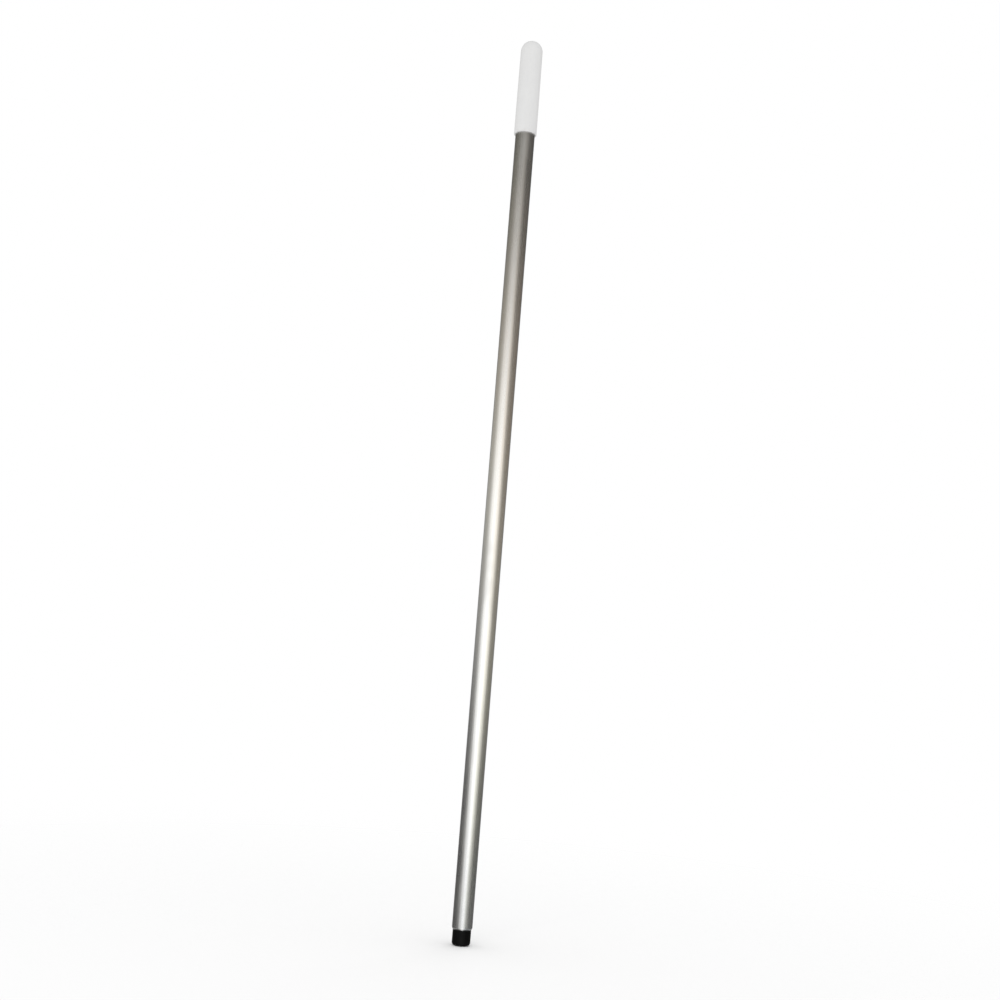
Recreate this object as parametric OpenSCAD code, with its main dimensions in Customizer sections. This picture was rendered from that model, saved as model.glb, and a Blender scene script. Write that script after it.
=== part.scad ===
// Hand staff for a stop/slow traffic paddle: an aluminium tube with a closed
// plastic grip over its upper end and a plain plastic plug in its rolled lower
// end. The staff stands on the plug at Z = 0, with its axis on Z. Millimetres.

/* [Staff] */
// Overall length, from the end of the plug to the crown of the grip
overall_len = 1150; // [900:10:1800]
// Outside diameter of the tube
tube_d = 25; // [22:0.5:32]
// Wall thickness of the tube
tube_wall = 1; // [0.8:0.1:1.4]

/* [Rolled end of the tube] */
// Height over which the tube's lower end is rolled inwards
rim_h = 3; // [2:0.5:4]
// Angle the lip has turned through at its edge
rim_angle = 38; // [25:1:42]

/* [Grip] */
// Length of the grip, from its open mouth to its crown
grip_len = 127; // [90:1:180]
// Wall thickness of the grip where it meets its domed end
grip_wall = 1.7; // [1.6:0.1:3.5]
// How much thicker the wall has become at the mouth
grip_flare = 0.4; // [0:0.1:1.2]
// Rounding of the mouth's outer edge
mouth_round = 0.9; // [0.4:0.1:1.4]
// Number of relief grooves moulded along the bore
relief_count = 12; // [6:1:16]
// Depth of each relief groove
relief_depth = 0.3; // [0.2:0.1:0.6]

/* [Retaining ring at the mouth] */
// Width of the shallow groove rolled into the tube
ring_w = 1.6; // [1.2:0.2:3]
// Depth of that groove
ring_depth = 0.25; // [0.15:0.05:0.35]

/* [End plug] */
// How far the plug's side stands in from the tube's side
plug_inset = 1.2; // [1.1:0.1:1.8]
// Length of plug that shows below the tube
plug_out = 19; // [15:1:40]
// Rounding of the plug's lower corner
plug_corner = 3.5; // [2:0.5:5]
// Length of plug held inside the tube
plug_in = 36; // [26:1:60]
// Number of gripping fins round the plug inside the tube
fin_count = 4; // [2:1:5]
// Diameter of the hollow up the middle of the plug
core_d = 14; // [8:0.5:14]

/* [Hidden] */
$fn = 96;

// tube
tube_r = tube_d / 2;
bore_r = tube_r - tube_wall;
tube_chamfer = 0.25;

// rolled end: the outer and inner skins turn about one centre
roll_steps = 6;
roll_out_r = rim_h / sin(rim_angle);
roll_in_r = roll_out_r - tube_wall;
roll_z = plug_out + rim_h;
roll_centre = [tube_r - roll_out_r, roll_z];
lip_in_r = roll_centre[0] + roll_in_r * cos(rim_angle);
lip_in_z = roll_z - roll_in_r * sin(rim_angle);

// grip: the dome is a hemisphere on the shoulder plane
dome_r = tube_r + grip_wall;
dome_steps = 18;
shoulder_z = overall_len - dome_r;
mouth_z = overall_len - grip_len;
mouth_r = dome_r + grip_flare;
mouth_end_angle = -4;
mouth_steps = 5;

// the tube butts on a ledge a little below the dome
ledge_drop = 5;
ledge_overhang = 0.6;
tube_top_z = shoulder_z - ledge_drop;
dome_hollow_r = bore_r - ledge_overhang;

// retaining ring: flat floor, square lower side, sloping upper side
ring_floor_r = tube_r - ring_depth;
ring_floor_top_z = mouth_z + ring_w;
ring_top_z = ring_floor_top_z + ring_depth;

// relief grooves
relief_w = 3.6;
relief_overlap = 1; // reach of the cutter inside the bore
relief_z = ring_floor_top_z + 6;
relief_top_z = tube_top_z - 4;

// plug below the tube and through the lip
plug_r = tube_r - plug_inset;
corner_steps = 8;
plug_chamfer = 0.3;
neck_r = lip_in_r - 0.15;
neck_z = plug_out - 0.25;
neck_top_z = lip_in_z + 0.4;

// plug inside the tube
shank_r = bore_r - 0.6;
shank_z = roll_z + 0.6;
plug_top_z = plug_out + plug_in;
lead_in_w = 1.2;
lead_in_h = 2;
core_r = core_d / 2;
core_floor_z = 4.5;
core_chamfer = 1.5;

// fins
first_fin_z = shank_z + 1.5;
fin_allowance = 8; // shank length left out when the fins are spaced
fin_pitch = (plug_top_z - shank_z - fin_allowance) / fin_count;
fin_land_share = 0.3; // part of the pitch where the land ends
fin_slope_share = 0.62; // part of the pitch where the slope ends

// All profiles are [radius, z] points.
// Arc from one angle to another, in equal steps
function arc(centre, radius, from, to, steps) = [
    for (i = [0:steps])
        let (angle = from + (to - from) * i / steps)
        [centre[0] + radius * cos(angle), centre[1] + radius * sin(angle)]
];

// drawn tube with its lower end rolled in and a shallow retaining groove
module tube() {
    color("silver")
    rotate_extrude()
    polygon(concat(
        arc(roll_centre, roll_out_r, -rim_angle, 0, roll_steps),
        [
            [tube_r, mouth_z],
            [ring_floor_r, mouth_z],
            [ring_floor_r, ring_floor_top_z],
            [tube_r, ring_top_z],
            [tube_r, tube_top_z - tube_chamfer],
            [tube_r - tube_chamfer, tube_top_z],
            [bore_r, tube_top_z]
        ],
        arc(roll_centre, roll_in_r, 0, -rim_angle, roll_steps)
    ));
}

// cutter for one relief groove along the grip's bore
module relief_groove() {
    translate([tube_r - relief_overlap, -relief_w / 2, relief_z])
        cube([relief_overlap + relief_depth, relief_w, relief_top_z - relief_z]);
}

// closed grip: hemispherical crown, slight flare to a rounded mouth, and a
// low bead inside the mouth that sits in the tube's groove
module grip() {
    color("whitesmoke")
    difference() {
        rotate_extrude()
        polygon(concat(
            // bead inside the mouth
            [[ring_floor_r, ring_floor_top_z], [ring_floor_r, mouth_z]],
            // rounded mouth and outside up to the crown
            arc([mouth_r - mouth_round, mouth_z + mouth_round], mouth_round,
                -90, mouth_end_angle, mouth_steps),
            arc([0, shoulder_z], dome_r, 0, 90, dome_steps),
            // hollow under the crown, then the ledge that stops the tube
            arc([0, shoulder_z], dome_hollow_r, 90, 0, dome_steps),
            [
                [dome_hollow_r, tube_top_z],
                [tube_r, tube_top_z],
                [tube_r, ring_top_z]
            ]
        ));
        for (i = [0:relief_count - 1])
            rotate(i * 360 / relief_count) relief_groove();
    }
}

// one fin: a square lower edge that holds, a land that fills the bore, and
// a slope that leads into the tube
function fin(z) = [
    [shank_r, z],
    [bore_r, z],
    [bore_r, z + fin_pitch * fin_land_share],
    [shank_r, z + fin_pitch * fin_slope_share]
];

// plain plug: the exposed spigot takes the paddle's socket, the neck sits
// inside the rolled lip, and the fins on the shank fill the bore
module end_plug() {
    color("#151515")
    rotate_extrude()
    polygon(concat(
        [[0, 0]],
        arc([plug_r - plug_corner, plug_corner], plug_corner, -90, 0, corner_steps),
        [
            [plug_r, neck_z - plug_chamfer],
            [plug_r - plug_chamfer, neck_z],
            [neck_r, neck_z],
            [neck_r, neck_top_z],
            [shank_r, shank_z]
        ],
        [for (i = [0:fin_count - 1]) each fin(first_fin_z + i * fin_pitch)],
        [
            [shank_r, plug_top_z - lead_in_h],
            [shank_r - lead_in_w, plug_top_z],
            [core_r, plug_top_z],
            [core_r, core_floor_z + core_chamfer],
            [core_r - core_chamfer, core_floor_z],
            [0, core_floor_z]
        ]
    ));
}

tube();
grip();
end_plug();
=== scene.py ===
"""A paddle staff: a satin aluminium tube, a white moulded grip and a black moulded plug.

The staff stands upright on the Z axis with the plug's foot at z = 0 and the grip's dome on top.
The camera looks at it from -Y. Each piece is turned from a profile in millimetres, with its main
sizes from the CAD model. Scene, light and texture lengths are in metres.
"""

import math

import bpy
from mathutils import Matrix, Vector


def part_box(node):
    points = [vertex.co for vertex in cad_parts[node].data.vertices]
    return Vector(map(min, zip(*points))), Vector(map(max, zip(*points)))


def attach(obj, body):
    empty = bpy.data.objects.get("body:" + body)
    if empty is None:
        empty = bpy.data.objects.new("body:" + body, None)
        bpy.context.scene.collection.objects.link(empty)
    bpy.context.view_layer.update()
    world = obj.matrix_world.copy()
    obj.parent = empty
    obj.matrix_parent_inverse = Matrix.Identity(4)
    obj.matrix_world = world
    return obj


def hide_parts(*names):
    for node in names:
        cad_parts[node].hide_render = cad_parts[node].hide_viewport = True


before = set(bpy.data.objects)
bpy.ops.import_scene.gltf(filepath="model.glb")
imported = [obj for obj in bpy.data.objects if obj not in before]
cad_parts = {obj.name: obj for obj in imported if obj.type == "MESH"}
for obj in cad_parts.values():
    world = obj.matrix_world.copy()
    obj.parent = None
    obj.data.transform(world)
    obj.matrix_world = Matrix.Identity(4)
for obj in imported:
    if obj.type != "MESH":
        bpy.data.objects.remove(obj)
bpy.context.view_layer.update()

MM = 0.001


# ---------------------------------------------------------------- sizes from the CAD model (mm)

tube_low, tube_high = (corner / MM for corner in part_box("tube"))
grip_low, grip_high = (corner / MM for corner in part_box("grip"))
plug_low, plug_high = (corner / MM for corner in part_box("end_plug"))

TUBE_RADIUS = (tube_high.x - tube_low.x) / 2
TUBE_WALL = 1.0
BORE_RADIUS = TUBE_RADIUS - TUBE_WALL
TUBE_BOTTOM, TUBE_TOP = tube_low.z, tube_high.z
CROWN = grip_high.z
MOUTH = grip_low.z  # open lower end of the grip
MOUTH_RADIUS = (grip_high.x - grip_low.x) / 2
DOME_RADIUS = TUBE_RADIUS + 1.7
SHOULDER = CROWN - DOME_RADIUS  # where the dome starts
PLUG_TOP = plug_high.z


# ---------------------------------------------------------------- lathe


def arc(centre_r, centre_z, radius, start, end, steps):
    """Points of an arc in the profile plane from start to end degrees, both included."""
    points = []
    for i in range(steps + 1):
        angle = math.radians(start + (end - start) * i / steps)
        points.append((centre_r + radius * math.cos(angle), centre_z + radius * math.sin(angle)))
    return points


def run(r0, z0, r1, z1, step):
    """Points of a straight run, split about every step, with both ends."""
    count = max(1, round(math.hypot(r1 - r0, z1 - z0) / step))
    return [(r0 + (r1 - r0) * i / count, z0 + (z1 - z0) * i / count) for i in range(count + 1)]


def toward(start, goal, distance):
    """The point at a distance from start on the line to goal."""
    share = distance / math.dist(start, goal)
    return tuple(a + (b - a) * share for a, b in zip(start, goal))


def joined(*parts):
    """One profile from several, without the points they share."""
    points = []
    for part in parts:
        for point in part:
            if not points or math.dist(point, points[-1]) > 1e-6:
                points.append(point)
    return points


def apart(first, second):
    """The angle between two headings, in degrees."""
    return abs((first - second + 180) % 360 - 180)


def even(count):
    return [360.0 * i / count for i in range(count)]


def even_with_finer(count, centres, width, steps):
    """Even angles, replaced by finer steps within width degrees of each centre."""
    angles = set(round(angle, 4) for angle in even(count))
    for centre in centres:
        angles = {angle for angle in angles if apart(angle, centre) > width}
        for i in range(steps + 1):
            angles.add(round((centre - width + 2 * width * i / steps) % 360, 4))
    return sorted(angles)


def add_object(name, data):
    obj = bpy.data.objects.new(name, data)
    bpy.context.scene.collection.objects.link(obj)
    return obj


CREASE = 28  # a ring is left sharp where the profile turns by more degrees than this


def mark_creases(mesh, profile, rings, closed):
    count = len(profile)
    ring_of = {}
    for i in range(count):
        if len(rings[i]) == 1 or (not closed and i in (0, count - 1)):
            continue
        before, here, after = profile[i - 1], profile[i], profile[(i + 1) % count]
        heading_in = math.atan2(here[1] - before[1], here[0] - before[0])
        heading_out = math.atan2(after[1] - here[1], after[0] - here[0])
        if apart(math.degrees(heading_out), math.degrees(heading_in)) > CREASE:
            for vertex in rings[i]:
                ring_of[vertex] = i
    for edge in mesh.edges:
        first, second = (ring_of.get(vertex) for vertex in edge.vertices)
        edge.use_edge_sharp = first is not None and first == second


def lathe(name, profile, angles, closed, shift=None):
    """A turned solid. The profile is (r, z) in millimetres with the solid on its left, angles are
    in degrees. closed joins the last point to the first. shift(r, z, angle) moves a radius."""
    verts, rings = [], []
    for r, z in profile:
        if r < 1e-6:
            rings.append([len(verts)])
            verts.append((0.0, 0.0, z * MM))
            continue
        rings.append(list(range(len(verts), len(verts) + len(angles))))
        for angle in angles:
            turn = math.radians(angle)
            radius = r + (shift(r, z, angle) if shift else 0.0)
            verts.append((radius * math.cos(turn) * MM, radius * math.sin(turn) * MM, z * MM))
    faces = []
    count = len(rings)
    for i in range(count if closed else count - 1):
        ring, following = rings[i], rings[(i + 1) % count]
        if len(ring) == len(following) == 1:
            continue
        for k in range(len(angles)):
            after = (k + 1) % len(angles)
            if len(ring) == 1:
                faces.append((ring[0], following[after], following[k]))
            elif len(following) == 1:
                faces.append((ring[k], ring[after], following[0]))
            else:
                faces.append((ring[k], ring[after], following[after], following[k]))
    mesh = bpy.data.meshes.new(name)
    mesh.from_pydata(verts, [], faces)
    mesh.validate()
    mesh.update()
    mark_creases(mesh, profile, rings, closed)
    mesh.polygons.foreach_set("use_smooth", [True] * len(mesh.polygons))
    mesh.update()
    return add_object(name, mesh)


# ---------------------------------------------------------------- tube

# the lower end is rolled inwards
RIM_HEIGHT, RIM_ANGLE = 3.0, 38.0
ROLL_OUTER = RIM_HEIGHT / math.sin(math.radians(RIM_ANGLE))
ROLL_INNER = ROLL_OUTER - TUBE_WALL
ROLL_R, ROLL_Z = TUBE_RADIUS - ROLL_OUTER, TUBE_BOTTOM + RIM_HEIGHT  # centre of the roll
LIP_OUTER = arc(ROLL_R, ROLL_Z, ROLL_OUTER, -RIM_ANGLE, 0, 20)
LIP_INNER = arc(ROLL_R, ROLL_Z, ROLL_INNER, 0, -RIM_ANGLE, 16)
LIP_BREAK = 0.12  # the sheared edge of the lip is broken by this much
TOP_BREAK = 0.25
GROOVE_WIDTH, GROOVE_DEPTH = 1.6, 0.25  # ring groove at the grip's mouth
GROOVE_RADIUS = TUBE_RADIUS - GROOVE_DEPTH
GROOVE_TOP = MOUTH + GROOVE_WIDTH
GROOVE_END = GROOVE_TOP + GROOVE_DEPTH  # top of the groove's sloping side


def build_tube():
    outer_end, inner_end = LIP_OUTER[0], LIP_INNER[-1]
    profile = joined(
        [
            toward(outer_end, inner_end, LIP_BREAK),
            toward(outer_end, LIP_OUTER[3], LIP_BREAK),
        ],
        LIP_OUTER[1:],
        run(TUBE_RADIUS, ROLL_Z, TUBE_RADIUS, MOUTH, 9.0),
        [(GROOVE_RADIUS, MOUTH), (GROOVE_RADIUS, GROOVE_TOP), (TUBE_RADIUS, GROOVE_END)],
        run(TUBE_RADIUS, GROOVE_END, TUBE_RADIUS, TUBE_TOP - TOP_BREAK, 12.0),
        [(TUBE_RADIUS - TOP_BREAK, TUBE_TOP), (BORE_RADIUS, TUBE_TOP)],
        run(BORE_RADIUS, TUBE_TOP, BORE_RADIUS, ROLL_Z, 25.0),
        LIP_INNER[1:-1],
        [
            toward(inner_end, LIP_INNER[-3], LIP_BREAK),
            toward(inner_end, outer_end, LIP_BREAK),
        ],
    )
    return lathe("tube_satin", profile, even(128), closed=True)


# ---------------------------------------------------------------- grip

MOUTH_ROUND = 0.9
HOLLOW_RADIUS = BORE_RADIUS - 0.6  # the hollow dome leaves a ledge over the tube's top
FIT = 0.01
GRIP_BORE = TUBE_RADIUS + FIT
GROOVE_FIT = GROOVE_RADIUS + FIT
LEDGE_Z = TUBE_TOP + 0.02
MOUTH_INNER_Z = MOUTH + 0.30
RELIEFS, RELIEF_WIDTH, RELIEF_DEPTH = 12, 3.6, 0.3
RELIEF_SIDE = 0.2  # width of a relief groove's sloping side
RELIEF_LOW, RELIEF_HIGH = GROOVE_TOP + 6, TUBE_TOP - 4
RELIEF_END, RELIEF_PAST = 0.3, 0.02  # profile points just inside and outside a groove's ends
# shallow dimple with the sheared gate in it, at the crown
GATE_RADIUS, GATE_DEPTH, NUB_RADIUS, NUB_HEIGHT = 2.2, 0.16, 0.55, 0.10


def relief(r, z, angle):
    """Moulded relief grooves along the bore, which let the grip stretch on to the tube."""
    if abs(r - GRIP_BORE) > 0.002 or not RELIEF_LOW < z < RELIEF_HIGH:
        return 0.0
    half_pitch = 180 / RELIEFS
    degrees_off = abs((angle + half_pitch) % (2 * half_pitch) - half_pitch)
    offset = math.radians(degrees_off) * TUBE_RADIUS
    share = (RELIEF_WIDTH / 2 - offset) / RELIEF_SIDE + 0.5
    return RELIEF_DEPTH * max(0.0, min(1.0, share))


def build_grip():
    dimple_edge = SHOULDER + math.sqrt(DOME_RADIUS**2 - GATE_RADIUS**2)
    floor = dimple_edge - GATE_DEPTH
    dome_end = math.degrees(math.acos(GATE_RADIUS / DOME_RADIUS))
    dimple = [
        (GATE_RADIUS - 0.10, dimple_edge - 0.02),
        (GATE_RADIUS - 0.26, floor + 0.03),
        (GATE_RADIUS - 0.42, floor),
        (NUB_RADIUS + 0.14, floor),
        (NUB_RADIUS + 0.04, floor + 0.02),
        (NUB_RADIUS, floor + NUB_HEIGHT - 0.03),
        (NUB_RADIUS - 0.06, floor + NUB_HEIGHT),
        (0.0, floor + NUB_HEIGHT + 0.01),
    ]
    # the broken inner edge of the mouth leaves a fine line round the tube
    mouth_edge = [
        (GROOVE_FIT, MOUTH_INNER_Z),
        (TUBE_RADIUS + 0.02, MOUTH + 0.28),
        (TUBE_RADIUS + 0.26, MOUTH + 0.05),
        (TUBE_RADIUS + 0.36, MOUTH),
    ]
    outside = joined(
        mouth_edge,
        arc(MOUTH_RADIUS - MOUTH_ROUND, MOUTH + MOUTH_ROUND, MOUTH_ROUND, -90, -2, 14),
        run(MOUTH_RADIUS, MOUTH + MOUTH_ROUND, DOME_RADIUS, SHOULDER, 3.0),
        arc(0, SHOULDER, DOME_RADIUS, 0, dome_end, 56),
        dimple,
    )
    inside = joined(
        arc(0, SHOULDER, HOLLOW_RADIUS, 90, 0, 28),
        [(HOLLOW_RADIUS, LEDGE_Z), (GRIP_BORE, LEDGE_Z), (GRIP_BORE, RELIEF_HIGH + RELIEF_PAST)],
        run(GRIP_BORE, RELIEF_HIGH - RELIEF_END, GRIP_BORE, RELIEF_LOW + RELIEF_END, 12.0),
        [(GRIP_BORE, RELIEF_LOW - RELIEF_PAST), (GRIP_BORE, GROOVE_END)],
        [(GROOVE_FIT, GROOVE_TOP)],
    )
    return lathe("grip_moulded", outside + inside, even(192), closed=True, shift=relief)


# ---------------------------------------------------------------- end plug

PLUG_RADIUS = TUBE_RADIUS - 1.2
PLUG_CORNER = 3.5
LIP_R, LIP_Z = LIP_INNER[-1]
NECK_RADIUS, NECK_Z = LIP_R - 0.15, TUBE_BOTTOM - 0.25
NECK_ROUND = 0.3
SHANK_RADIUS, SHANK_Z = BORE_RADIUS - 0.6, ROLL_Z + 0.6
HOLLOW_R, HOLLOW_Z = 7.0, 6.0  # radius of the plug's hollow, and where its side ends
FINS = 4
FIN_RADIUS = BORE_RADIUS - 0.01
FIN_PITCH = (PLUG_TOP - SHANK_Z - 8) / FINS
SEAMS = (270 + 18, 90 + 18)  # degrees, parting line of the two mould halves
SEAM_HEIGHT, SEAM_WIDTH = 0.035, 0.55  # millimetres proud, degrees to either side

# (r, z) from the axis outwards: the gate's stub in a shallow round recess in the flat foot
FOOT_RECESS = [
    (0.0, 0.22), (0.5, 0.22), (0.6, 0.26), (0.72, 0.42), (0.9, 0.45), (3.3, 0.45),
    (3.46, 0.42), (3.62, 0.30), (3.78, 0.08), (3.9, 0.02), (4.05, 0.0),
]


def seam(r, z, angle):
    """The parting line stands a few hundredths proud of the plug's visible skin."""
    if z > NECK_Z or r < PLUG_RADIUS - PLUG_CORNER or z < 0.01:
        return 0.0
    nearest = min(apart(angle, place) for place in SEAMS)
    return SEAM_HEIGHT * max(0.0, 1 - nearest / SEAM_WIDTH)


def build_plug():
    fins = []
    for i in range(FINS):
        z = SHANK_Z + 1.5 + i * FIN_PITCH
        fins += [
            (SHANK_RADIUS, z),
            (FIN_RADIUS, z + 0.05),
            (FIN_RADIUS, z + FIN_PITCH * 0.3),
            (SHANK_RADIUS, z + FIN_PITCH * 0.62),
        ]
    profile = joined(
        FOOT_RECESS,
        run(FOOT_RECESS[-1][0], 0.0, PLUG_RADIUS - PLUG_CORNER, 0.0, 1.2),
        arc(PLUG_RADIUS - PLUG_CORNER, PLUG_CORNER, PLUG_CORNER, -90, 0, 28),
        run(PLUG_RADIUS, PLUG_CORNER, PLUG_RADIUS, NECK_Z - NECK_ROUND, 1.5),
        arc(PLUG_RADIUS - NECK_ROUND, NECK_Z - NECK_ROUND, NECK_ROUND, 0, 90, 6),
        [(NECK_RADIUS, NECK_Z), (NECK_RADIUS, LIP_Z + 0.4), (SHANK_RADIUS, SHANK_Z)],
        fins,
        [(SHANK_RADIUS, PLUG_TOP - 2), (SHANK_RADIUS - 1.2, PLUG_TOP)],
        run(HOLLOW_R, PLUG_TOP, HOLLOW_R, HOLLOW_Z, 6.0),
        [(HOLLOW_R - 1.5, HOLLOW_Z - 1.5), (0.0, HOLLOW_Z - 1.5)],
    )
    angles = even_with_finer(144, SEAMS, width=1.1, steps=8)
    return lathe("end_plug_moulded", profile, angles, closed=False, shift=seam)


# ---------------------------------------------------------------- node trees


class Net:
    """A few short calls to build a node tree."""

    def __init__(self, tree):
        self.tree = tree
        tree.nodes.clear()

    def add(self, kind, **values):
        node = self.tree.nodes.new(kind)
        for name, value in values.items():
            setattr(node, name, value)
        return node

    def put(self, socket, value):
        """Links a socket to an input, or sets the input's value."""
        if isinstance(value, bpy.types.NodeSocket):
            self.tree.links.new(value, socket)
        elif value is not None:
            socket.default_value = value

    def node(self, kind, inputs, **values):
        """A node with some inputs filled, by name or number."""
        node = self.add(kind, **values)
        for key, value in inputs.items():
            self.put(node.inputs[key], value)
        return node

    def coordinates(self, output):
        """A texture coordinate, and its x, y and z."""
        point = self.add("ShaderNodeTexCoord").outputs[output]
        return point, self.node("ShaderNodeSeparateXYZ", {0: point}).outputs

    def math(self, operation, first, second=None, clamp=False):
        inputs = {0: first, 1: second}
        return self.node("ShaderNodeMath", inputs, operation=operation, use_clamp=clamp).outputs[0]

    def combine(self, total, *terms, clamp=False):
        """total with terms of (operation, value, weight) applied in turn. clamp acts on the last."""
        for i, (operation, value, weight) in enumerate(terms, 1):
            part = self.math("MULTIPLY", value, weight)
            total = self.math(operation, total, part, clamp=clamp and i == len(terms))
        return total

    def most(self, first, *others):
        for other in others:
            first = self.math("MAXIMUM", first, other)
        return first

    def span(self, value, start, end, low=0.0, high=1.0, curve="SMOOTHSTEP"):
        """value mapped from start..end to low..high, clamped."""
        inputs = dict(enumerate((value, start, end, low, high)))
        return self.node("ShaderNodeMapRange", inputs, interpolation_type=curve).outputs[0]

    def mapped(self, point, scale=(1, 1, 1), turn=(0, 0, 0), move=(0, 0, 0)):
        inputs = {"Vector": point, "Location": move, "Rotation": turn, "Scale": scale}
        return self.node("ShaderNodeMapping", inputs, vector_type="POINT").outputs[0]

    def noise(self, point, scale=1.0, stretch=None, move=(0, 0, 0), detail=2.0, rough=0.5):
        """Noise of one scale, or of a scale for each axis given as stretch."""
        if stretch:
            point = self.mapped(point, scale=stretch, move=move)
        inputs = {
            "Vector": point, "Scale": scale, "Detail": detail, "Roughness": rough,
            "Distortion": 0.0,
        }
        return self.node("ShaderNodeTexNoise", inputs, noise_dimensions="3D").outputs[0]

    def cells(self, point, scale):
        inputs = {"Vector": point, "Scale": scale}
        return self.node("ShaderNodeTexVoronoi", inputs, feature="F1").outputs

    def strokes(self, point, table):
        """Layers of separate short strokes. Each row of the table is: cells per metre, their scale
        along the stroke, turn in radians, share left out, stroke width in cells, move."""
        layers = []
        for size, stretch, turn, left_out, width, move in table:
            turned = self.mapped(point, turn=turn)
            cells = self.cells(
                self.mapped(turned, scale=(size, size, size * stretch), move=move), scale=1.0
            )
            pick = self.node("ShaderNodeSeparateColor", {0: cells["Color"]})
            line = self.span(cells["Distance"], width * 0.35, width, low=1.0, high=0.0)
            kept = self.span(pick.outputs[0], left_out, left_out + 0.12)
            layers.append(self.math("MULTIPLY", line, kept))
        return layers

    def blend(self, share, first, second, mode="MIX"):
        """A mix of two colours, each a socket or (r, g, b)."""
        inputs = {0: share}
        for key, colour in ((6, first), (7, second)):
            inputs[key] = (*colour, 1) if isinstance(colour, tuple) else colour
        node = self.node("ShaderNodeMix", inputs, data_type="RGBA", blend_type=mode)
        return node.outputs[2]

    def tint(self, colour, *layers):
        """A colour with layers of (mask, strength, tint colour) over it."""
        for mask, strength, tint in layers:
            colour = self.blend(self.math("MULTIPLY", mask, strength), colour, tint)
        return colour

    def bump(self, height, distance, strength, normal=None):
        inputs = {"Strength": strength, "Distance": distance, "Height": height, "Normal": normal}
        return self.node("ShaderNodeBump", inputs).outputs[0]

    def mix_shader(self, share, first, second):
        return self.node("ShaderNodeMixShader", {0: share, 1: first, 2: second}).outputs[0]


def new_material(name):
    material = bpy.data.materials.new(name)
    material.use_nodes = True
    return material, Net(material.node_tree)


def new_surface(name, view_colour):
    """A material with its net, Principled shader, object coordinate and z along the staff."""
    material, net = new_material(name)
    material.diffuse_color = (*view_colour, 1)
    shader = net.add("ShaderNodeBsdfPrincipled")
    net.node("ShaderNodeOutputMaterial", {0: shader.outputs[0]})
    point, axes = net.coordinates("Object")
    return material, net, shader, point, axes[2]


# ---------------------------------------------------------------- materials

# stroke tables, see Net.strokes
TUBE_SCRATCHES = [
    (300, 0.045, (0.03, 0.02, 0), 0.62, 0.055, (0, 0, 0)),  # along the tube
    (210, 0.060, (0.45, 0.25, 0.4), 0.74, 0.040, (5, 3, 1)),  # slanting
    (260, 0.080, (1.35, 0.2, 1.1), 0.82, 0.038, (1, 8, 2)),  # round it
]
GRIP_SCUFFS = [
    (150, 0.09, (0.5, 0.3, 0.8), 0.66, 0.050, (0, 0, 0)),
    (190, 0.08, (1.2, -0.4, 0.3), 0.72, 0.045, (4, 1, 6)),
    (170, 0.07, (-0.2, 0.15, 2.0), 0.70, 0.040, (2, 9, 3)),
]
PLUG_SCRATCHES = [
    (420, 0.10, (0.05, 0.02, 0), 0.55, 0.050, (0, 0, 0)),
    (300, 0.12, (0.7, 0.3, 0.6), 0.70, 0.040, (3, 2, 7)),
]


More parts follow.
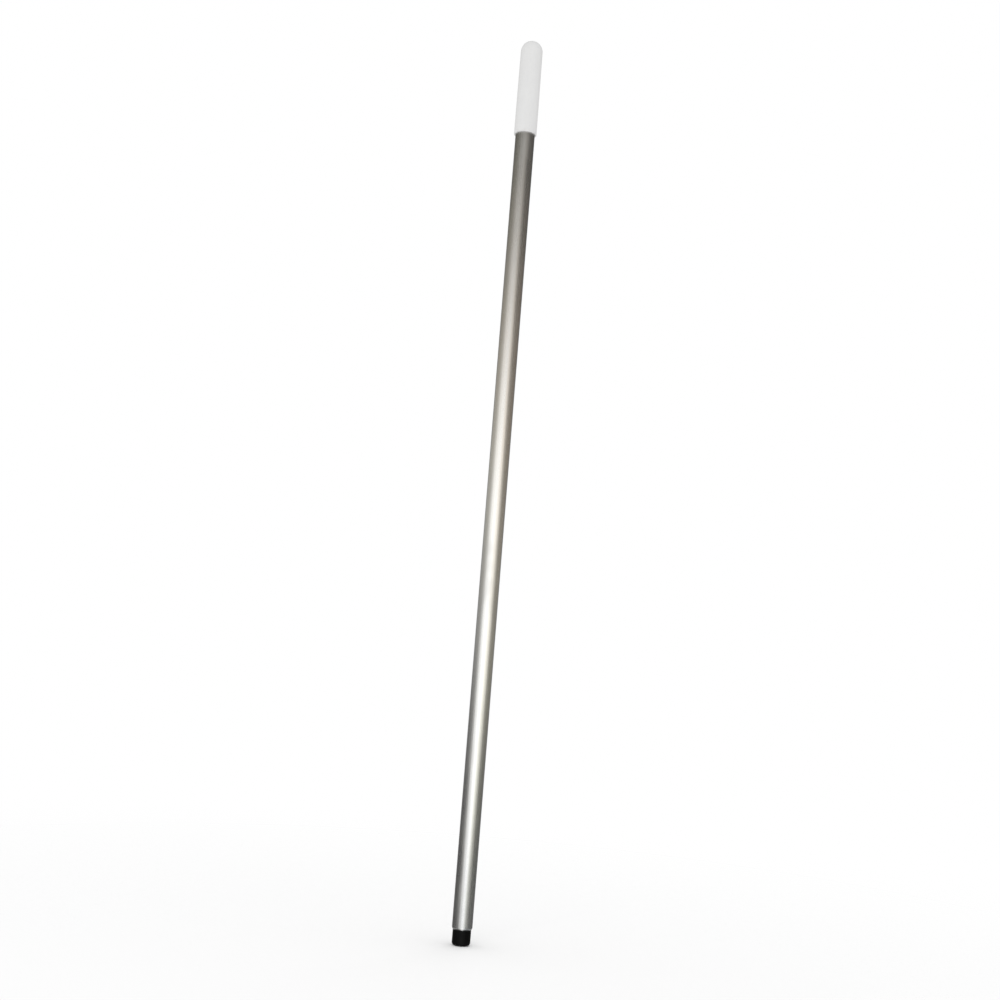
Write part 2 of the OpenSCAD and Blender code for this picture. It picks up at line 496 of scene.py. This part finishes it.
def satin_aluminium():
    material, net, shader, point, along = new_surface("satin_aluminium", (0.72, 0.72, 0.72))
    # draw lines run the length of the tube: narrow round it, very long along it
    hair = net.noise(point, stretch=(5200, 5200, 16), detail=2, rough=0.6)
    fine = net.noise(point, stretch=(1900, 1900, 6), detail=3, rough=0.6)
    medium = net.noise(point, stretch=(620, 620, 2.2))
    broad = net.noise(point, stretch=(190, 190, 1.3))
    cloud = net.noise(point, scale=16, detail=4, rough=0.6)
    # a few deeper die lines
    die = net.noise(point, stretch=(980, 980, 0.5), move=(3, 1, 0), detail=1)
    die = net.span(die, start=0.68, end=0.76)
    # rubbed patches
    patch = net.noise(point, stretch=(30, 30, 11), move=(7, 2, 4), detail=3, rough=0.65)
    patch = net.span(patch, start=0.50, end=0.72)
    scratch = net.most(*net.strokes(point, TUBE_SCRATCHES))
    # tiny pits of an etched finish
    pits = net.span(net.noise(point, scale=3800, detail=1), start=0.60, end=0.72)
    # the rolled rim is burnished and smoother, with fine lines round it from the roller; its lighter
    # colour is partly burnish and partly a painted glint
    rim = net.span(along, start=(ROLL_Z + 1.0) * MM, end=(ROLL_Z - 0.9) * MM)
    roller = net.noise(point, stretch=(6, 6, 2100), detail=2, rough=0.6)

    # bare aluminium, a touch warmer in the broad bands, darker where it is dull
    tone = net.math("MULTIPLY", medium, 0.42)
    tone = net.combine(tone, ("ADD", fine, 0.34), ("ADD", cloud, 0.24))
    tone = net.span(tone, start=0.34, end=0.66, curve="LINEAR")
    colour = net.blend(tone, (0.655, 0.662, 0.672), (0.815, 0.810, 0.798))
    warmth = net.span(broad, start=0.35, end=0.65, high=0.40)
    colour = net.blend(warmth, colour, (0.762, 0.748, 0.730))
    colour = net.tint(
        colour,
        (die, 0.40, (0.47, 0.47, 0.48)),
        (patch, 0.16, (0.62, 0.62, 0.62)),
        (pits, 0.10, (0.50, 0.50, 0.50)),
        (scratch, 0.45, (0.93, 0.93, 0.92)),
        # painted glint: the rim's colour is made lighter, partly for the burnish and partly for the
        # light the rim catches
        (rim, 0.60, (0.90, 0.90, 0.89)),
    )
    rough = net.combine(
        0.165,
        ("ADD", medium, 0.09),
        ("ADD", fine, 0.10),
        ("ADD", cloud, 0.04),
        ("ADD", patch, 0.07),
        ("SUBTRACT", scratch, 0.08),
        ("SUBTRACT", rim, 0.10),
        clamp=True,
    )
    height = net.combine(
        net.math("MULTIPLY", fine, 1.0),
        ("ADD", hair, 0.35),
        ("SUBTRACT", die, 0.55),
        ("SUBTRACT", scratch, 0.45),
        ("SUBTRACT", pits, 0.025),
    )
    # on the rim the roller's lines take over
    height = net.math("MULTIPLY", height, net.combine(1.0, ("SUBTRACT", rim, 0.75)))
    height = net.combine(height, ("ADD", net.math("MULTIPLY", roller, rim), 0.55))
    skin = net.bump(height, distance=0.000040, strength=0.7)
    wavy = net.combine(medium, ("ADD", broad, 1.8))
    for name, value in {
        "Base Color": colour,
        "Metallic": 1.0,
        "Roughness": rough,
        "Anisotropic": 0.50,
        "Specular Tint": (0.40, 0.40, 0.40, 1),  # the oxide skin dulls what grazes it
        "Tangent": net.add("ShaderNodeTangent", direction_type="RADIAL", axis="Z").outputs[0],
        "Normal": net.bump(wavy, distance=0.00011, strength=0.7, normal=skin),
    }.items():
        net.put(shader.inputs[name], value)
    return material


def white_plastic():
    material, net, shader, point, along = new_surface("white_plastic", (0.8, 0.8, 0.8))
    # spark-eroded mould texture, a slow unevenness of the wall, and flow marks along it
    grain = net.noise(point, scale=2300, detail=2, rough=0.55)
    pits = net.span(net.cells(point, scale=1500)["Distance"], start=0.10, end=0.55)
    sink = net.noise(point, stretch=(75, 75, 34))
    flow = net.noise(point, stretch=(240, 240, 13))
    cloud = net.noise(point, scale=42, detail=4, rough=0.62)
    # worn smoother where the hand sits, and a trace of soil towards the mouth's edge
    hand = net.math(
        "MULTIPLY",
        net.span(along, start=(MOUTH + 8) * MM, end=(MOUTH + 45) * MM),
        net.span(cloud, start=0.40, end=0.62),
    )
    dirt = net.noise(point, stretch=(160, 160, 60), detail=3, rough=0.6)
    soil = net.math(
        "MULTIPLY",
        net.span(along, start=(MOUTH + 5.5) * MM, end=(MOUTH + 0.2) * MM),
        net.span(dirt, start=0.42, end=0.68),
    )
    scuff = net.most(*net.strokes(point, GRIP_SCUFFS))

    mottle = net.span(cloud, start=0.3, end=0.7)
    colour = net.blend(mottle, (0.792, 0.792, 0.790), (0.826, 0.826, 0.823))
    flow_marks = net.span(flow, start=0.35, end=0.65, high=0.5)
    colour = net.blend(flow_marks, colour, (0.808, 0.806, 0.800))
    colour = net.tint(
        colour,
        (net.span(grain, start=0.55, end=0.30), 0.30, (0.70, 0.70, 0.695)),
        (soil, 0.24, (0.52, 0.50, 0.47)),
        (scuff, 0.40, (0.60, 0.60, 0.595)),
    )
    rough = net.combine(
        0.46,
        ("ADD", grain, 0.12),
        ("ADD", cloud, 0.05),
        ("SUBTRACT", hand, 0.10),
        ("ADD", scuff, 0.10),
        clamp=True,
    )
    height = net.math("MULTIPLY", grain, 0.7)
    height = net.combine(height, ("ADD", pits, 0.35), ("SUBTRACT", scuff, 0.5))
    skin = net.bump(height, distance=0.000060, strength=0.7)
    wavy = net.combine(sink, ("ADD", flow, 0.12))
    for name, value in {
        "Base Color": colour,
        "Roughness": rough,
        "IOR": 1.5,
        "Specular IOR Level": 0.45,
        "Normal": net.bump(wavy, distance=0.00020, strength=0.6, normal=skin),
    }.items():
        net.put(shader.inputs[name], value)
    return material


def black_plastic():
    material, net, shader, point, along = new_surface("black_plastic", (0.012, 0.012, 0.012))
    grain = net.noise(point, scale=2000, detail=3, rough=0.6)
    cloud = net.noise(point, scale=95, detail=4, rough=0.6)
    # dulled and greyed where it meets the ground and slides in a socket
    foot = net.span(along, start=3.0 * MM, end=0.2 * MM)
    wear = net.noise(point, stretch=(420, 420, 420), detail=3, rough=0.7)
    rub = net.math("MULTIPLY", foot, net.span(wear, start=0.44, end=0.66))
    streaks = net.noise(point, stretch=(1500, 1500, 60), detail=2, rough=0.6)
    streaks = net.math(
        "MULTIPLY",
        net.span(streaks, start=0.58, end=0.72),
        net.span(along, start=3.0 * MM, end=7.0 * MM, high=0.7),
    )
    slide = net.most(*net.strokes(point, PLUG_SCRATCHES), streaks)
    dust = net.span(net.noise(point, scale=700, detail=3, rough=0.7), start=0.60, end=0.78)

    mottle = net.span(cloud, start=0.3, end=0.7)
    colour = net.blend(mottle, (0.0019, 0.0019, 0.0021), (0.0034, 0.0034, 0.0034))
    colour = net.tint(
        colour,
        (rub, 0.45, (0.050, 0.049, 0.047)),
        (slide, 0.20, (0.030, 0.030, 0.030)),
        (dust, 0.08, (0.09, 0.088, 0.083)),
    )
    rough = net.combine(
        0.36,
        ("ADD", grain, 0.16),
        ("ADD", rub, 0.16),
        ("SUBTRACT", slide, 0.07),
        clamp=True,
    )
    height = net.math("MULTIPLY", grain, 0.8)
    height = net.combine(height, ("ADD", rub, -0.5), ("SUBTRACT", slide, 0.25))
    for name, value in {
        "Base Color": colour,
        "Roughness": rough,
        "IOR": 1.48,
        "Specular IOR Level": 0.10,
        "Normal": net.bump(height, distance=0.00006, strength=0.7),
    }.items():
        net.put(shader.inputs[name], value)
    return material


# ---------------------------------------------------------------- floor

FLOOR_RADIUS = 1.5
FLOOR_DROP = 0.00005  # the floor lies just below the foot
FLOOR_RINGS, FLOOR_SIDES = 24, 96
RING_CROWDING = 1.6  # power that crowds the rings towards the middle


def floor_material():
    """Pale and matt in the middle, fading to clear at the edge."""
    material, net = new_material("floor_pale")
    matt = net.node("ShaderNodeBsdfDiffuse", {"Color": (0.955, 0.955, 0.955, 1)})
    lift = net.node("ShaderNodeEmission", {"Strength": 0.055})
    pale = net.node("ShaderNodeAddShader", {0: matt.outputs[0], 1: lift.outputs[0]})
    clear = net.add("ShaderNodeBsdfTransparent")
    _, axes = net.coordinates("Object")
    squares = [net.math("POWER", axis, 2) for axis in axes[:2]]
    radius = net.math("SQRT", net.math("ADD", *squares))
    fade = net.span(radius, start=FLOOR_RADIUS * 0.05, end=FLOOR_RADIUS, low=1.0, high=0.0)
    shader = net.mix_shader(fade, clear.outputs[0], pale.outputs[0])
    net.node("ShaderNodeOutputMaterial", {0: shader})
    return material


def build_floor():
    verts = [(0, 0, 0)]
    for i in range(1, FLOOR_RINGS + 1):
        radius = FLOOR_RADIUS * (i / FLOOR_RINGS) ** RING_CROWDING
        for k in range(FLOOR_SIDES):
            angle = 2 * math.pi * k / FLOOR_SIDES
            verts.append((radius * math.cos(angle), radius * math.sin(angle), 0))
    faces = [(0, 1 + k, 1 + (k + 1) % FLOOR_SIDES) for k in range(FLOOR_SIDES)]
    for i in range(FLOOR_RINGS - 1):
        for k in range(FLOOR_SIDES):
            here = 1 + i * FLOOR_SIDES + k
            after = 1 + i * FLOOR_SIDES + (k + 1) % FLOOR_SIDES
            faces.append((here, here + FLOOR_SIDES, after + FLOOR_SIDES, after))
    mesh = bpy.data.meshes.new("floor")
    mesh.from_pydata(verts, [], faces)
    mesh.update()
    floor = add_object("floor", mesh)
    floor.location.z = -FLOOR_DROP
    mesh.materials.append(floor_material())
    floor.visible_glossy = False


# ---------------------------------------------------------------- light tent

# Each table is (elevation in degrees, value), the value a grey or (r, g, b).
ELEVATION_LIMIT = 60.0
# brightness of the front panel (towards -Y), the left (-X) and right (+X) walls and the back
FRONT = [
    (-60, 1.0), (-30, 1.15), (-16, 1.15), (-10, (1.42, 1.45, 1.47)), (-7, (1.96, 1.96, 1.96)),
    (-3, 1.82), (0, 1.72), (5, (1.68, 1.68, 1.65)), (8, (1.64, 1.63, 1.58)),
    (11, (1.34, 1.32, 1.26)), (14, (0.91, 0.88, 0.82)), (17, (0.51, 0.49, 0.44)),
    (20, (0.250, 0.240, 0.214)), (24, 0.06), (60, 0.05),
]
LEFT = [
    (-60, 0.05), (-40, 0.10), (-31, 0.30), (-25, 0.30), (-17, 0.11), (-9, 0.085), (-4, 0.15),
    (-1, 0.25), (2, 0.42), (5, (0.570, 0.567, 0.528)), (9, (0.560, 0.550, 0.496)),
    (13, (0.410, 0.390, 0.337)), (17, (0.295, 0.278, 0.235)), (21, (0.168, 0.158, 0.131)),
    (26, 0.05), (60, 0.05),
]
RIGHT = [
    (-60, 0.06), (-40, 0.12), (-31, 0.30), (-25, 0.30), (-17, 0.14), (-9, 0.13), (-4, 0.19),
    (-1, (0.275, 0.275, 0.255)), (2, (0.370, 0.365, 0.335)), (5, (0.315, 0.303, 0.273)),
    (9, (0.274, 0.258, 0.228)), (13, (0.226, 0.207, 0.178)), (17, (0.164, 0.151, 0.130)),
    (21, (0.108, 0.101, 0.090)), (26, 0.04), (60, 0.04),
]
BACK = [(-60, 1.10), (-20, 1.05), (-12, 0.75), (0, 0.75), (12, 0.62), (22, 0.35), (60, 0.25)]
# how far the front panel reaches to either side, in hundreds of degrees
REACH_LEFT = [
    (-60, 0.10), (-42, 0.20), (-20, 0.30), (-10, 0.17), (-8, 0.24), (-5, 0.38), (-1, 0.49),
    (3, 0.54), (7, 0.55), (12, 0.51), (17, 0.47), (22, 0.50),
]
REACH_RIGHT = [
    (-60, 0.10), (-42, 0.20), (-20, 0.30), (-10, 0.16), (-8, 0.20), (-5, 0.36), (-1, 0.50),
    (2, 0.53), (7, 0.38), (13, 0.32), (17, 0.27), (22, 0.25),
]
# tint of the cloth to either side of the middle
TINT_RIGHT = [
    (-13, (0.97, 1.0, 1.02)), (-9, (0.97, 1.0, 0.99)), (-5.8, (0.975, 1.0, 0.84)),
    (-2.1, (1.0, 1.0, 0.87)), (1.1, (1.03, 1.0, 0.90)), (3.4, (1.05, 1.0, 0.925)),
    (5.8, (1.08, 1.0, 0.915)), (8.2, (1.085, 1.0, 0.90)), (10.5, (1.09, 1.0, 0.92)),
    (12.9, (1.10, 1.0, 0.94)), (15.3, (1.04, 1.0, 0.955)), (18.5, (0.96, 1.0, 1.04)),
    (24, (0.94, 1.0, 1.06)),
]
TINT_LEFT = [
    (0, (1.0, 1.0, 0.98)), (5.8, (1.0, 1.0, 0.97)), (8.2, (1.01, 1.0, 0.95)),
    (10.5, (1.055, 1.0, 0.965)), (12.9, (1.07, 1.0, 0.98)), (15.3, (1.055, 1.0, 0.985)),
    (18.5, (0.96, 1.0, 1.01)), (24, (0.94, 1.0, 1.02)),
]
PANEL_FADE = 32.0  # degrees the front panel's edge fades over, to either side


def tent_reflection(net):
    """What reflections see: soft panels before and behind the staff, and dimmer side walls."""
    _, (x, y, z) = net.coordinates("Generated")
    elevation = net.math("DEGREES", net.math("ARCSINE", z))
    # 0 towards -Y, positive towards +X
    azimuth = net.math("DEGREES", net.math("ARCTAN2", x, net.math("MULTIPLY", y, -1.0)))
    off = net.math("ABSOLUTE", azimuth)
    raised = net.math("ADD", elevation, ELEVATION_LIMIT)
    level = net.math("DIVIDE", raised, 2 * ELEVATION_LIMIT, clamp=True)

    def by_elevation(table):
        node = net.node("ShaderNodeValToRGB", {0: level})
        elements = node.color_ramp.elements
        while len(elements) < len(table):
            elements.new(0.5)
        for element, (degrees, value) in zip(elements, table):
            element.position = (degrees + ELEVATION_LIMIT) / (2 * ELEVATION_LIMIT)
            element.color = (*value, 1) if isinstance(value, tuple) else (value, value, value, 1)
        return node.outputs[0]

    across = net.span(azimuth, start=-6, end=6)
    reach = net.blend(across, by_elevation(REACH_LEFT), by_elevation(REACH_RIGHT))
    reach = net.math("MULTIPLY", reach, 100.0)
    panel_start = net.math("SUBTRACT", reach, PANEL_FADE)
    panel_end = net.math("ADD", reach, PANEL_FADE)
    ahead = net.span(off, panel_start, panel_end, low=1.0, high=0.0)
    right_share = net.span(azimuth, start=-30, end=30)
    side = net.blend(right_share, by_elevation(LEFT), by_elevation(RIGHT))
    colour = net.blend(ahead, side, by_elevation(FRONT))
    on_right = net.math(
        "MULTIPLY",
        net.span(azimuth, start=0, end=28),
        net.span(azimuth, start=115, end=150, low=1.0, high=0.0),
    )
    colour = net.blend(on_right, colour, by_elevation(TINT_RIGHT), mode="MULTIPLY")
    on_left = net.math(
        "MULTIPLY",
        net.span(azimuth, start=-26, end=0, low=1.0, high=0.0),
        net.span(azimuth, start=-150, end=-115),
    )
    colour = net.blend(on_left, colour, by_elevation(TINT_LEFT), mode="MULTIPLY")
    return net.blend(net.span(off, start=132, end=166), colour, by_elevation(BACK))


def build_tent():
    """A white tent: even white as light and as backdrop, panels and walls in reflections."""
    world = bpy.data.worlds.new("tent")
    bpy.context.scene.world = world
    world.use_nodes = True
    net = Net(world.node_tree)
    white = (1.0, 1.0, 1.0, 1)

    def background(colour, strength):
        inputs = {"Color": colour, "Strength": strength}
        return net.node("ShaderNodeBackground", inputs).outputs[0]

    lighting = background(white, strength=0.885)
    backdrop = background(white, strength=1.0)
    mirrored = background(tent_reflection(net), strength=1.0)
    ray = net.add("ShaderNodeLightPath").outputs
    shader = net.mix_shader(ray["Is Glossy Ray"], lighting, mirrored)
    shader = net.mix_shader(ray["Is Camera Ray"], shader, backdrop)
    net.node("ShaderNodeOutputWorld", {0: shader})
    world.cycles.sampling_method = "NONE"


# ---------------------------------------------------------------- lamps and camera

PANEL_SIZE = 1.8
PANEL_TARGET = (0, 0, 0.6)


def add_panel(name, place, watts):
    """A square soft light, unseen by the camera and in reflections."""
    data = bpy.data.lights.new(name, "AREA")
    data.shape = "RECTANGLE"
    data.size = data.size_y = PANEL_SIZE
    data.energy = watts
    panel = add_object(name, data)
    panel.location = place
    panel.rotation_mode = "QUATERNION"
    direction = Vector(PANEL_TARGET) - Vector(place)
    panel.rotation_quaternion = direction.to_track_quat("-Z", "Y")
    panel.visible_glossy = False
    panel.visible_camera = False


def add_camera(place, yaw, pitch, roll, lens):
    """The camera at place, turned yaw to its left and pitch up from +Y, then rolled so that
    upright things lean right. Angles in degrees, lens in millimetres."""
    data = bpy.data.cameras.new("camera")
    data.sensor_width = 36.0
    data.lens = lens
    data.clip_start, data.clip_end = 0.05, 50.0
    camera = add_object("camera", data)
    turn = (
        Matrix.Rotation(math.radians(yaw), 4, "Z")
        @ Matrix.Rotation(math.radians(90 + pitch), 4, "X")
        @ Matrix.Rotation(math.radians(roll), 4, "Z")
    )
    camera.matrix_world = Matrix.Translation(Vector(place)) @ turn
    bpy.context.scene.camera = camera


# ---------------------------------------------------------------- the scene

tube, grip, plug = build_tube(), build_grip(), build_plug()
for piece, node_name, slot_name in (
    (tube, "tube", "satin_aluminium"),
    (grip, "grip", "white_plastic"),
    (plug, "end_plug", "black_plastic"),
):
    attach(piece, "root")
    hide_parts(node_name)
tube.data.materials.append(satin_aluminium())
grip.data.materials.append(white_plastic())
plug.data.materials.append(black_plastic())

build_floor()
build_tent()
# the panels shape the plastic a little; the tube's reflections come from the tent
add_panel("key", place=(-0.7, -2.6, 2.4), watts=9)
add_panel("fill", place=(0.9, 2.5, 2.3), watts=8)
add_camera(place=(0.0, -1.734, 0.3453), yaw=-0.16, pitch=6.587, roll=4.53, lens=49.96)

scene = bpy.context.scene
scene.view_settings.view_transform = "Standard"
scene.view_settings.look = "None"
scene.view_settings.exposure = 0.0
scene.view_settings.gamma = 1.0
scene.cycles.max_bounces = 8
scene.cycles.diffuse_bounces = 4
scene.cycles.glossy_bounces = 5
scene.cycles.transparent_max_bounces = 8
scene.cycles.sample_clamp_indirect = 4.0
